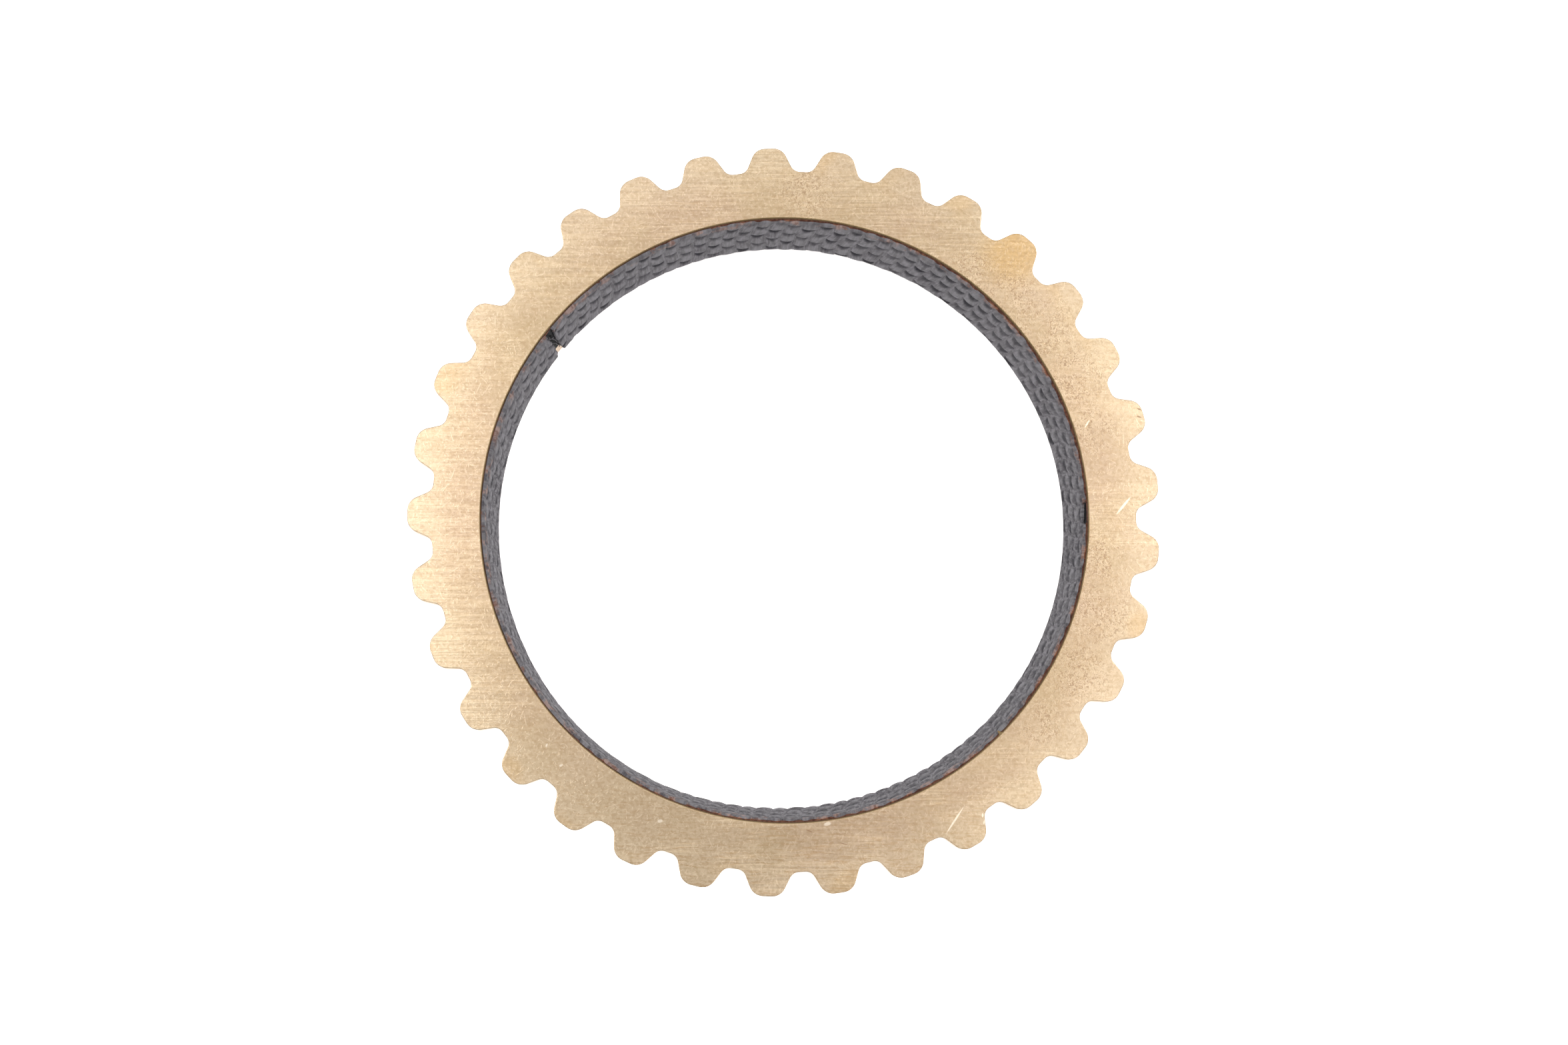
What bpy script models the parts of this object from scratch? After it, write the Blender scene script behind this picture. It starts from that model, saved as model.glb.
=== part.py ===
"""Gearbox synchronizer ring (baulk ring) with a woven friction lining in its cone.

Frame: the ring's axis is Z. The hub-side end face lies on z = 0 and the toothed
gear-side face looks up. The middle of one tooth is on +X.
"""
import bmesh
import bpy
from math import atan2, cos, pi, radians, sin, sqrt, tan
from mathutils import Matrix, Vector

MM = 0.001

# Toothed flange
TEETH = 33
MODULE = 2.0 * MM
TIP_RADIUS = (TEETH + 1) * MODULE / 2
TOOTH_DEPTH = 1.08 * MODULE
ROOT_RADIUS = TIP_RADIUS - TOOTH_DEPTH
MID_RADIUS = TIP_RADIUS - TOOTH_DEPTH / 2
MID_HALF_WIDTH = 1.71 * MM
FLANK_ANGLE = radians(23.6)
TIP_FILLET = 1.28 * MM
ROOT_FILLET = 0.93 * MM
FILLET_STEPS = 3
FLANGE_THICKNESS = 2.9 * MM
ROOF_HEIGHT = 1.4 * MM
ROOF_HALF_WIDTH = 2.1 * MM
SHOULDER_RADIUS = 31.4 * MM
EDGE_BREAK = 0.10 * MM

# Barrel behind the flange
HEIGHT = 8.5 * MM
BARREL_RADIUS = 30.25 * MM
BARREL_CHAMFER = 0.5 * MM
BARREL_FACETS = 132

# Key slots, cut into the outside of the barrel from the hub side
KEY_SLOTS = 3
SLOT_WIDTH = 9.6 * MM
SLOT_LENGTH = 4.6 * MM
SLOT_FLOOR_RADIUS = 28.55 * MM
SLOT_CORNER = 0.6 * MM
CUTTER_MARGIN = 1.5 * MM

# Conical bore and the lining bonded in it
BORE_FRONT_RADIUS = 27.49 * MM
CONE_HALF_ANGLE = radians(5.5)
BORE_FACETS = 120
SEAM_AZIMUTH = radians(136.2)
SEAM_GAP = radians(1.75)
BOND_CLEARANCE = 0.01 * MM
FILM_THICKNESS = 0.05 * MM
FILM_FRONT_DEPTH = 0.28 * MM
BEAD_THICKNESS = 0.24 * MM
LINING_THICKNESS = 0.26 * MM
LINING_FRONT_DEPTH = 0.45 * MM
LINING_BACK_DEPTH = 8.0 * MM

SMOOTH_ANGLE = radians(30.0)


# ---------------------------------------------------------------- helpers

def clear_scene():
    for thing in list(bpy.data.objects):
        bpy.data.objects.remove(thing, do_unlink=True)


def make_material(name, colour, roughness, metallic):
    material = bpy.data.materials.new(name)
    material.use_nodes = True
    shader = material.node_tree.nodes["Principled BSDF"]
    shader.inputs["Base Color"].default_value = (*colour, 1.0)
    shader.inputs["Roughness"].default_value = roughness
    shader.inputs["Metallic"].default_value = metallic
    return material


def finish_object(name, shape, material):
    """Turn a bmesh into a named object with outward faces and smooth round sides."""
    bmesh.ops.recalc_face_normals(shape, faces=shape.faces)
    mesh = bpy.data.meshes.new(name)
    shape.to_mesh(mesh)
    shape.free()
    mesh.materials.append(material)
    mesh.shade_smooth()
    mesh.set_sharp_from_angle(angle=SMOOTH_ANGLE)
    thing = bpy.data.objects.new(name, mesh)
    bpy.context.collection.objects.link(thing)
    return thing


def polar(radius, azimuth, z):
    return Vector((radius * cos(azimuth), radius * sin(azimuth), z))


def add_ring(shape, points):
    return [shape.verts.new(point) for point in points]


def azimuths_from_first(ring):
    """Azimuth of each vertex, counted up from the ring's first vertex."""
    start = atan2(ring[0].co.y, ring[0].co.x)
    turns = [(atan2(v.co.y, v.co.x) - start) % (2 * pi) for v in ring[1:]]
    return [start] + [start + turn for turn in turns]


def zip_rings(shape, first, second):
    """Triangles between two closed rings whose vertices are sorted by azimuth."""
    first_turns = azimuths_from_first(first)
    offset = min(range(len(second)), key=lambda j: (second[j].co - first[0].co).length)
    second = second[offset:] + second[:offset]
    second_turns = azimuths_from_first(second)
    shift = round((first_turns[0] - second_turns[0]) / (2 * pi)) * 2 * pi
    second_turns = [turn + shift for turn in second_turns]
    first_turns.append(first_turns[0] + 2 * pi)
    second_turns.append(second_turns[0] + 2 * pi)
    i = 0
    j = 0
    while i < len(first) or j < len(second):
        a = first[i % len(first)]
        b = second[j % len(second)]
        first_goes = j == len(second)
        if i < len(first) and j < len(second):
            first_goes = first_turns[i + 1] <= second_turns[j + 1]
        if first_goes:
            i += 1
            shape.faces.new((a, first[i % len(first)], b))
        else:
            j += 1
            shape.faces.new((a, second[j % len(second)], b))


def join_rings(shape, first, second):
    """Quads between two closed rings with the same number of vertices."""
    count = len(first)
    for i in range(count):
        k = (i + 1) % count
        shape.faces.new((first[i], first[k], second[k], second[i]))


# ---------------------------------------------------------------- tooth outline

def fillet_centre(radius_from_axis, distance_from_flank):
    """Centre on a circle about the axis, at a signed distance inside the flank line.

    The tooth points along +X and its flank is above it, at +Y.
    """
    along = Vector((cos(FLANK_ANGLE), -sin(FLANK_ANGLE)))
    inward = Vector((-sin(FLANK_ANGLE), -cos(FLANK_ANGLE)))
    on_flank = Vector((sqrt(MID_RADIUS ** 2 - MID_HALF_WIDTH ** 2), MID_HALF_WIDTH))
    start = on_flank + inward * distance_from_flank
    slope = start.dot(along)
    travel = -slope + sqrt(slope ** 2 - start.length_squared + radius_from_axis ** 2)
    return start + along * travel


def arc_points(centre, radius, start, end, steps):
    angles = [start + (end - start) * i / steps for i in range(steps + 1)]
    return [centre + radius * Vector((cos(a), sin(a))) for a in angles]


def half_tooth(inset):
    """Outline from just past the tip's middle to the root, for an inward offset."""
    tip_fillet = TIP_FILLET - inset
    tip_centre = fillet_centre(TIP_RADIUS - TIP_FILLET, TIP_FILLET)
    root_fillet = ROOT_FILLET + inset
    root_centre = fillet_centre(ROOT_RADIUS + ROOT_FILLET, -ROOT_FILLET)
    flank_normal = pi / 2 - FLANK_ANGLE
    tip_normal = atan2(tip_centre.y, tip_centre.x)
    root_normal = atan2(root_centre.y, root_centre.x)
    tip = arc_points(tip_centre, tip_fillet, tip_normal, flank_normal, FILLET_STEPS)
    root = arc_points(
        root_centre, root_fillet, flank_normal - pi, root_normal - pi, FILLET_STEPS)
    return tip + root


def toothed_outline(inset):
    """Whole outline, counter-clockwise, as (x, y) points with their roof offset.

    The roof offset is each point's distance from the middle of its own tooth.
    """
    half = half_tooth(inset)
    mirrored = [Vector((p.x, -p.y)) for p in reversed(half)]
    tooth = mirrored + [Vector((TIP_RADIUS - inset, 0.0))] + half
    points = []
    for i in range(TEETH):
        turn = Matrix.Rotation(2 * pi * i / TEETH, 2)
        points += [(turn @ p, abs(p.y)) for p in tooth]
    return points


def roof_height(offset):
    return min(offset / ROOF_HALF_WIDTH, 1.0) * ROOF_HEIGHT


# ---------------------------------------------------------------- brass ring

def bore_azimuths():
    """One narrow facet across the lining's butt gap and equal facets elsewhere."""
    first = SEAM_AZIMUTH + SEAM_GAP / 2
    step = (2 * pi - SEAM_GAP) / BORE_FACETS
    return [first + i * step for i in range(BORE_FACETS + 1)]


def cone_radius(depth, inward=0.0):
    """Bore radius at a depth below the gear-side face, less a layer's thickness."""
    return BORE_FRONT_RADIUS - depth * tan(CONE_HALF_ANGLE) - inward / cos(CONE_HALF_ANGLE)


def bore_ring(shape, depth, inward=0.0):
    radius = cone_radius(depth, inward)
    return add_ring(shape, [polar(radius, a, HEIGHT - depth) for a in bore_azimuths()])


def barrel_ring(shape, radius, z):
    step = 2 * pi / BARREL_FACETS
    return add_ring(shape, [polar(radius, i * step, z) for i in range(BARREL_FACETS)])


def flange_rings(shape):
    """Rings down the toothed rim, from the gear-side face to the shoulder's bottom."""
    bottom = HEIGHT - FLANGE_THICKNESS
    broken = toothed_outline(EDGE_BREAK)
    full = toothed_outline(0.0)
    top = add_ring(shape, [(p.x, p.y, HEIGHT) for p, _ in broken])
    side = add_ring(shape, [(p.x, p.y, HEIGHT - EDGE_BREAK) for p, _ in full])
    roof = add_ring(shape, [(p.x, p.y, bottom + roof_height(d)) for p, d in full])
    shoulder = []
    foot = []
    for p, offset in full:
        inner = p * (SHOULDER_RADIUS / p.length)
        inner_offset = offset * (SHOULDER_RADIUS / p.length)
        shoulder.append((inner.x, inner.y, bottom + roof_height(inner_offset)))
        foot.append((inner.x, inner.y, bottom))
    return [top, side, roof, add_ring(shape, shoulder), add_ring(shape, foot)]


def ring_body_shape():
    shape = bmesh.new()
    flange = flange_rings(shape)
    for upper, lower in zip(flange, flange[1:]):
        join_rings(shape, upper, lower)
    barrel = [
        barrel_ring(shape, BARREL_RADIUS, HEIGHT - FLANGE_THICKNESS),
        barrel_ring(shape, BARREL_RADIUS, BARREL_CHAMFER),
        barrel_ring(shape, BARREL_RADIUS - BARREL_CHAMFER, 0.0)]
    zip_rings(shape, flange[-1], barrel[0])
    join_rings(shape, barrel[0], barrel[1])
    join_rings(shape, barrel[1], barrel[2])
    bore_end = bore_ring(shape, HEIGHT)
    bore_start = bore_ring(shape, EDGE_BREAK)
    mouth_radius = BORE_FRONT_RADIUS + EDGE_BREAK * (1 - tan(CONE_HALF_ANGLE))
    mouth = add_ring(shape, [polar(mouth_radius, a, HEIGHT) for a in bore_azimuths()])
    zip_rings(shape, barrel[2], bore_end)
    join_rings(shape, bore_end, bore_start)
    join_rings(shape, bore_start, mouth)
    zip_rings(shape, mouth, flange[0])
    bmesh.ops.remove_doubles(shape, verts=shape.verts, dist=1e-7)
    return shape


def slot_cutter(number):
    """Box that mills one flat-floored key slot, in line with a tooth."""
    azimuth = number * 2 * pi / KEY_SLOTS
    depth = BARREL_RADIUS + CUTTER_MARGIN - SLOT_FLOOR_RADIUS
    length = SLOT_LENGTH + CUTTER_MARGIN
    shape = bmesh.new()
    bmesh.ops.create_cube(shape, size=1.0)
    bmesh.ops.scale(shape, vec=(depth, SLOT_WIDTH, length), verts=shape.verts)
    inner_edges = [
        e for e in shape.edges
        if all(v.co.z > 0 for v in e.verts) and abs(e.verts[0].co.x - e.verts[1].co.x) > depth / 2]
    bmesh.ops.bevel(
        shape, geom=inner_edges, offset=SLOT_CORNER, segments=3, profile=0.5, affect="EDGES")
    bmesh.ops.recalc_face_normals(shape, faces=shape.faces)
    mesh = bpy.data.meshes.new("slot_cutter")
    shape.to_mesh(mesh)
    shape.free()
    cutter = bpy.data.objects.new(f"slot_cutter_{number + 1}", mesh)
    bpy.context.collection.objects.link(cutter)
    cutter.location = polar(SLOT_FLOOR_RADIUS + depth / 2, azimuth, SLOT_LENGTH - length / 2)
    cutter.rotation_euler.z = azimuth
    cutter.hide_render = True
    cutter.display_type = "WIRE"
    return cutter


def build_ring_body():
    brass = make_material("brass", (0.80, 0.60, 0.36), 0.38, 1.0)
    ring = finish_object("ring_body", ring_body_shape(), brass)
    for number in range(KEY_SLOTS):
        cutter = slot_cutter(number)
        cut = ring.modifiers.new(f"key_slot_{number + 1}", "BOOLEAN")
        cut.operation = "DIFFERENCE"
        cut.object = cutter
    return ring


# ---------------------------------------------------------------- bonded layers

def build_adhesive_film():
    """Thin shell on the cone whose front edge swells into a bead over the lining."""
    wall = BOND_CLEARANCE
    inner = BOND_CLEARANCE + FILM_THICKNESS
    bead = BOND_CLEARANCE + BEAD_THICKNESS
    bead_back = LINING_FRONT_DEPTH - 2 * BOND_CLEARANCE
    shape = bmesh.new()
    section = [
        bore_ring(shape, FILM_FRONT_DEPTH, wall),
        bore_ring(shape, LINING_BACK_DEPTH, wall),
        bore_ring(shape, LINING_BACK_DEPTH, inner),
        bore_ring(shape, bead_back, inner),
        bore_ring(shape, bead_back, bead)]
    for i, ring in enumerate(section):
        join_rings(shape, ring, section[(i + 1) % len(section)])
    resin = make_material("bond_resin", (0.10, 0.06, 0.035), 0.45, 0.0)
    return finish_object("adhesive_film", shape, resin)


def build_friction_lining():
    """Strip on the film, once round the cone, with a butt gap at the seam."""
    outer = FILM_THICKNESS + 2 * BOND_CLEARANCE
    inner = outer + LINING_THICKNESS
    shape = bmesh.new()
    section = [
        bore_ring(shape, LINING_FRONT_DEPTH, outer),
        bore_ring(shape, LINING_BACK_DEPTH, outer),
        bore_ring(shape, LINING_BACK_DEPTH, inner),
        bore_ring(shape, LINING_FRONT_DEPTH, inner)]
    for i, ring in enumerate(section):
        beside = section[(i + 1) % len(section)]
        for k in range(BORE_FACETS):
            shape.faces.new((ring[k], ring[k + 1], beside[k + 1], beside[k]))
    shape.faces.new([ring[0] for ring in section])
    shape.faces.new([ring[-1] for ring in reversed(section)])
    carbon = make_material("woven_carbon", (0.13, 0.13, 0.135), 0.75, 0.0)
    return finish_object("friction_lining", shape, carbon)


def main():
    clear_scene()
    build_ring_body()
    build_adhesive_film()
    build_friction_lining()


main()
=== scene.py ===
from math import cos, pi, radians, sin, sqrt, tan

import bmesh
import bpy
import numpy as np
from mathutils import Matrix, Vector


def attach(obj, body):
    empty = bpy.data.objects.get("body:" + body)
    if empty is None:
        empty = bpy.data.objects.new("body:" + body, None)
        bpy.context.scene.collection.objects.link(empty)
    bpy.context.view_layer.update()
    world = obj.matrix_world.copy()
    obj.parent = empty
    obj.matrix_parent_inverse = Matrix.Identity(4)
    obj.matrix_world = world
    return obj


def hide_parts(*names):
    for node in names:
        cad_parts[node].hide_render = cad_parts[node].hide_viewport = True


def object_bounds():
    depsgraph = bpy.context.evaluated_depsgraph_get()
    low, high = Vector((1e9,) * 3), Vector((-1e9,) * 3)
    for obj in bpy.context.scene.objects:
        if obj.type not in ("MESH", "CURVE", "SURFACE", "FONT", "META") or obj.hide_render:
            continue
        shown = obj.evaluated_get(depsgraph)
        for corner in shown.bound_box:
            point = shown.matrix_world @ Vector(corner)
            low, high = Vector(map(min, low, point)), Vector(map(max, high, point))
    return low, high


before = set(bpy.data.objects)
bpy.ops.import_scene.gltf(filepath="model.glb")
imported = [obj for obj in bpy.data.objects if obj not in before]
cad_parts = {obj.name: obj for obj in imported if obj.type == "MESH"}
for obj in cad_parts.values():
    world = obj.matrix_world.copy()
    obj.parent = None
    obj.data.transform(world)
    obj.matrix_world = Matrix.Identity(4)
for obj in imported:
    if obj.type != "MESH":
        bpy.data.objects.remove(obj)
cad_box = [list(corner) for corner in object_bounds()]

MM = 0.001
TAU = 2 * pi

# ---------------------------------------------------------------- sizes, in millimetres

HEIGHT = cad_box[1][2] / MM
TIP_RADIUS = 0.99999 * cad_box[1][0] / MM       # a hair inside the CAD's box

TEETH = 33
TOOTH_PITCH = TAU / TEETH
TOOTH_DEPTH = 2.16
ROOT_RADIUS = TIP_RADIUS - TOOTH_DEPTH
MID_RADIUS = TIP_RADIUS - TOOTH_DEPTH / 2
MID_HALF_WIDTH = 1.71
FLANK_ANGLE = radians(23.6)
TIP_FILLET = 1.28
ROOT_FILLET = 0.93
ARC_STEPS = 7
TIP_STEPS = 4
FLANGE_THICKNESS = 2.9
ROOF_HEIGHT = 1.4
ROOF_HALF_WIDTH = 2.1
RIDGE_SOFTNESS = 0.12
SHOULDER_RADIUS = 31.4
SHOULDER_FILLET = 0.18
EDGE_BREAK = 0.06
LOWER_BREAK = 0.7 * EDGE_BREAK
EDGE_STEPS = 4

BARREL_RADIUS = 30.25
BARREL_STEPS = 720
BARREL_FILLET = 0.25
FILLET_STEPS = 3
BARREL_CHAMFER = 0.5
CHAMFER_BREAK = 0.03
KEY_SLOTS = 3
SLOT_HALF_WIDTH = 4.8
SLOT_LENGTH = 4.6
SLOT_FLOOR = 28.55
SLOT_EDGE = 0.16

BORE_RADIUS = 27.49
BORE_CHAMFER = 0.12
CONE_HALF_ANGLE = radians(5.5)
FILM = 0.05
SKIN_GAP = 0.01
LINING_THICKNESS = 0.31
LINING_FRONT = 0.45
LINING_BACK = 8.0

# Azimuths of single features, and their sizes
SEAM = radians(136.2)
CHIP = radians(-4.25)
CHIP_DEPTH = 0.95
BURR = radians(309.3)
BURR_WIDTH = 0.13
BURR_REACH = 0.42
BURR_DIP = 0.10
NOTCH = radians(132.2)
NOTCH_DEPTH = 0.30
SEAM_HALF_GAP = 0.42
NICKS = (radians(221.4), radians(237.2))
NICK_DEPTH = 0.40

# Camera against the ring's own axis, in radians and millimetres
VIEW_TURN = radians(5.117)
TILT_X = -0.10818
TILT_Y = 0.03912
CAMERA_DISTANCE = 222.97
CAMERA_SHIFT = (0.1605, 0.5498)
LENS = 56.72
SENSOR = 36.0


# ---------------------------------------------------------------- mesh helpers

def object_from(name, points, faces):
    """An object from points in millimetres and faces given as index lists."""
    mesh = bpy.data.meshes.new(name)
    mesh.from_pydata((np.asarray(points) * MM).tolist(), [], faces)
    mesh.update()
    thing = bpy.data.objects.new(name, mesh)
    bpy.context.collection.objects.link(thing)
    return thing


def turn_outward(thing):
    """Makes every face of a closed mesh point outward."""
    shape = bmesh.new()
    shape.from_mesh(thing.data)
    bmesh.ops.recalc_face_normals(shape, faces=shape.faces)
    shape.to_mesh(thing.data)
    shape.free()


def smooth(thing, angle):
    """Smooth shading, with edges sharper than an angle kept hard."""
    thing.data.shade_smooth()
    thing.data.set_sharp_from_angle(angle=angle)


def flatten_level_faces(thing):
    """Shades faces that lie level as exactly flat, beside smooth rounded edges."""
    for face in thing.data.polygons:
        if abs(face.normal.z) > 0.9999:
            face.use_smooth = False


def polar(radius, azimuth, z):
    """Points from cylindrical coordinates, with X, Y and Z along the last axis."""
    radius, azimuth, z = np.broadcast_arrays(radius, azimuth, z)
    return np.stack([radius * np.cos(azimuth), radius * np.sin(azimuth), z], axis=-1)


def grid_faces(rows, columns, close):
    """Quads of a rows x columns grid of vertices; close joins the last column to the first."""
    index = np.arange(rows * columns).reshape(rows, columns)
    beside = np.roll(index, -1, axis=1)
    if not close:
        index, beside = index[:, :-1], beside[:, :-1]
    quads = np.stack([index[:-1], beside[:-1], beside[1:], index[1:]], axis=-1)
    return quads.reshape(-1, 4)


def azimuths_past(points, origin):
    """Azimuth of each point, from 0 to a full turn past an origin."""
    return (np.arctan2(points[:, 1], points[:, 0]) - origin) % TAU


def zip_faces(first, first_start, second, second_start):
    """Triangles between two closed rings of points, each sorted by azimuth."""
    origin = np.arctan2(first[0, 1], first[0, 0]) - 1e-6
    a = azimuths_past(first, origin)
    b = azimuths_past(second, origin)
    roll = int(np.argmin(b))
    b = np.roll(b, -roll)
    order = (np.arange(len(b)) + roll) % len(b)
    a = np.append(a, a[0] + TAU)
    b = np.append(b, b[0] + TAU)
    i = j = 0
    faces = []
    while i < len(first) or j < len(second):
        p = first_start + i % len(first)
        q = second_start + int(order[j % len(second)])
        if j == len(second) or (i < len(first) and a[i + 1] <= b[j + 1]):
            i += 1
            faces.append((p, first_start + i % len(first), q))
        else:
            j += 1
            faces.append((p, second_start + int(order[j % len(second)]), q))
    return faces


# ---------------------------------------------------------------- value noise and hashes

def hashed(*keys):
    """A repeatable random number from 0 to 1 for each set of whole-number keys."""
    total = np.zeros(np.broadcast(*keys).shape)
    for weight, key in zip((127.1, 311.7, 74.7), keys):
        total = total + weight * np.asarray(key, dtype=float)
    value = np.sin(total) * 43758.5453
    return value - np.floor(value)


def ring_noise(azimuth, waves, seed, terms=9):
    """Smooth noise round the ring, from -1 to 1, whose finest ripple has about that many waves."""
    draw = np.random.default_rng(seed)
    total = np.zeros_like(azimuth)
    weight = 0.0
    for k in range(terms):
        count = max(1, int(round(waves * (k + 1) / terms)))
        total += np.sin(count * azimuth + draw.uniform(0, TAU)) * draw.uniform(0.5, 1.0)
        weight += 0.55
    return np.clip(total / weight * 1.6, -1, 1)


def ease(value, low, high):
    """Smooth step from 0 at low to 1 at high."""
    t = np.clip((value - low) / (high - low), 0, 1)
    return t * t * (3 - 2 * t)


def wrapped(angle):
    """The same angle between minus and plus half a turn."""
    return (angle + pi) % TAU - pi


# ---------------------------------------------------------------- toothed outline

def fillet_centre(radius_from_axis, inside):
    """Centre on a circle about the axis, at a signed distance inside the upper flank."""
    along = np.array([cos(FLANK_ANGLE), -sin(FLANK_ANGLE)])
    inward = np.array([-sin(FLANK_ANGLE), -cos(FLANK_ANGLE)])
    start = np.array([sqrt(MID_RADIUS ** 2 - MID_HALF_WIDTH ** 2), MID_HALF_WIDTH])
    start = start + inward * inside
    slope = start @ along
    return start + along * (-slope + sqrt(slope ** 2 - start @ start + radius_from_axis ** 2))


def arc(centre, radius, start, end, steps):
    """Points along a circular arc in the plane."""
    angles = np.linspace(start, end, steps + 1)
    return centre + radius * np.stack([np.cos(angles), np.sin(angles)], axis=-1)


def tooth_points(inset):
    """One tooth's outline about +X, offset inward, from root middle to root middle."""
    tip_centre = fillet_centre(TIP_RADIUS - TIP_FILLET, TIP_FILLET)
    root_centre = fillet_centre(ROOT_RADIUS + ROOT_FILLET, -ROOT_FILLET)
    flank = pi / 2 - FLANK_ANGLE
    tip_normal = np.arctan2(tip_centre[1], tip_centre[0])
    root_normal = np.arctan2(root_centre[1], root_centre[0])
    top = arc(np.zeros(2), TIP_RADIUS - inset, 0.0, tip_normal, TIP_STEPS)
    tip = arc(tip_centre, TIP_FILLET - inset, tip_normal, flank, ARC_STEPS)
    root = arc(root_centre, ROOT_FILLET + inset, flank - pi, root_normal - pi, ARC_STEPS)
    middle = (tip[-1] + root[0]) / 2
    bottom = arc(np.zeros(2), ROOT_RADIUS - inset, root_normal, TOOTH_PITCH / 2, 2)
    half = np.vstack([top[:-1], tip, middle, root, bottom[1:]])
    mirrored = half[1:-1][::-1] * (1, -1)
    return np.vstack([mirrored, half])


def outline(inset):
    """The whole toothed outline, with each point's distance from its tooth's middle."""
    tooth = tooth_points(inset)
    offsets = np.tile(np.abs(tooth[:, 1]), TEETH)
    rows = []
    for i in range(TEETH):
        c, s = cos(i * TOOTH_PITCH), sin(i * TOOTH_PITCH)
        rows.append(tooth @ np.array([[c, s], [-s, c]]))
    return np.vstack(rows), offsets


def roof(offset):
    """Height of a tooth's pointed hub-side end over the flange's bottom."""
    soft = np.sqrt(offset ** 2 + RIDGE_SOFTNESS ** 2) - RIDGE_SOFTNESS
    return np.minimum(soft / ROOF_HALF_WIDTH, 1.0) * ROOF_HEIGHT


def flange_rings():
    """Rings of points down the toothed rim, from the gear-side face to the shoulder's foot."""
    bottom = HEIGHT - FLANGE_THICKNESS
    rings = []
    for k in range(EDGE_STEPS + 1):
        turn = pi / 2 * k / EDGE_STEPS
        points, _ = outline(EDGE_BREAK * (1 - sin(turn)))
        height = np.full(len(points), HEIGHT - EDGE_BREAK * (1 - cos(turn)))
        rings.append(np.column_stack([points, height]))
    full, offsets = outline(0.0)
    low, low_offsets = outline(LOWER_BREAK)
    rings.append(np.column_stack([full, bottom + roof(offsets) + LOWER_BREAK]))
    rings.append(np.column_stack([low, bottom + roof(low_offsets)]))
    length = np.linalg.norm(low, axis=1)
    for radius, drop in ((SHOULDER_RADIUS + SHOULDER_FILLET, 0.0), (SHOULDER_RADIUS, 0.5)):
        inner = low * (radius / length)[:, None]
        height = roof(low_offsets * radius / length)
        height = height * (1 - drop * ease(height, 0.0, 0.3))
        rings.append(np.column_stack([inner, bottom + height]))
    for radius, lift in ((SHOULDER_RADIUS, EDGE_BREAK), (SHOULDER_RADIUS - EDGE_BREAK, 0.0)):
        inner = low * (radius / length)[:, None]
        height = np.minimum(roof(low_offsets * radius / length), lift)
        rings.append(np.column_stack([inner, bottom + height]))
    return rings


# ---------------------------------------------------------------- brass ring

def barrel_azimuths():
    """Even azimuths, with close extra ones at the slots' walls and at the burr."""
    even = np.linspace(0, TAU, BARREL_STEPS, endpoint=False)
    close = [even]
    wall = np.arcsin(SLOT_HALF_WIDTH / BARREL_RADIUS)
    near = np.linspace(-1.2, 1.2, 13) * SLOT_EDGE / BARREL_RADIUS
    for k in range(KEY_SLOTS):
        middle = k * TAU / KEY_SLOTS
        close += [middle + wall + near, middle - wall + near]
    close.append(BURR + np.linspace(-0.5, 0.5, 31) / BORE_RADIUS)
    return np.unique(np.round(np.concatenate(close) % TAU, 6))


def in_slot(azimuth, z):
    """How far a barrel point lies in a key slot, 0 outside and 1 on the floor."""
    nearest = np.round(azimuth / (TAU / KEY_SLOTS)) * (TAU / KEY_SLOTS)
    across = np.abs(BARREL_RADIUS * np.sin(azimuth - nearest))
    side = 1 - ease(across, SLOT_HALF_WIDTH - SLOT_EDGE, SLOT_HALF_WIDTH + SLOT_EDGE / 3)
    end = 1 - ease(z, SLOT_LENGTH - SLOT_EDGE, SLOT_LENGTH + SLOT_EDGE / 3)
    return side * end, azimuth - nearest


def barrel_ring(azimuth, radius, z):
    """One ring of points on the barrel, sunk to the floors of the key slots."""
    inside, turn = in_slot(azimuth, np.full_like(azimuth, z))
    floor = np.minimum(SLOT_FLOOR / np.cos(turn), radius)
    return polar(radius + (floor - radius) * inside, azimuth, z)


def barrel_rings(azimuth):
    """Rings down the barrel, from the fillet under the flange to the chamfer at the hub end."""
    bottom = HEIGHT - FLANGE_THICKNESS
    rings = []
    for k in range(FILLET_STEPS + 1):
        turn = pi / 2 * k / FILLET_STEPS
        radius = BARREL_RADIUS + BARREL_FILLET * (1 - sin(turn))
        rings.append(barrel_ring(azimuth, radius, bottom - BARREL_FILLET * (1 - cos(turn))))
    near_end = SLOT_LENGTH + np.linspace(SLOT_EDGE / 2, -1.1 * SLOT_EDGE, 8)
    levels = [5.0, *near_end, 3.6, 2.6, 1.6, BARREL_CHAMFER + 0.1]
    rings += [barrel_ring(azimuth, BARREL_RADIUS, z) for z in levels]
    chamfer = [
        (CHAMFER_BREAK, BARREL_CHAMFER), (BARREL_CHAMFER - CHAMFER_BREAK, 0.05),
        (BARREL_CHAMFER + 0.05, 0.0)]
    rings += [barrel_ring(azimuth, BARREL_RADIUS - cut, z) for cut, z in chamfer]
    return rings


def cone(depth, inward=0.0):
    """Radius of the bore at a depth under the gear-side face, or of a shell inside it."""
    return BORE_RADIUS - depth * tan(CONE_HALF_ANGLE) - inward / cos(CONE_HALF_ANGLE)


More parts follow.
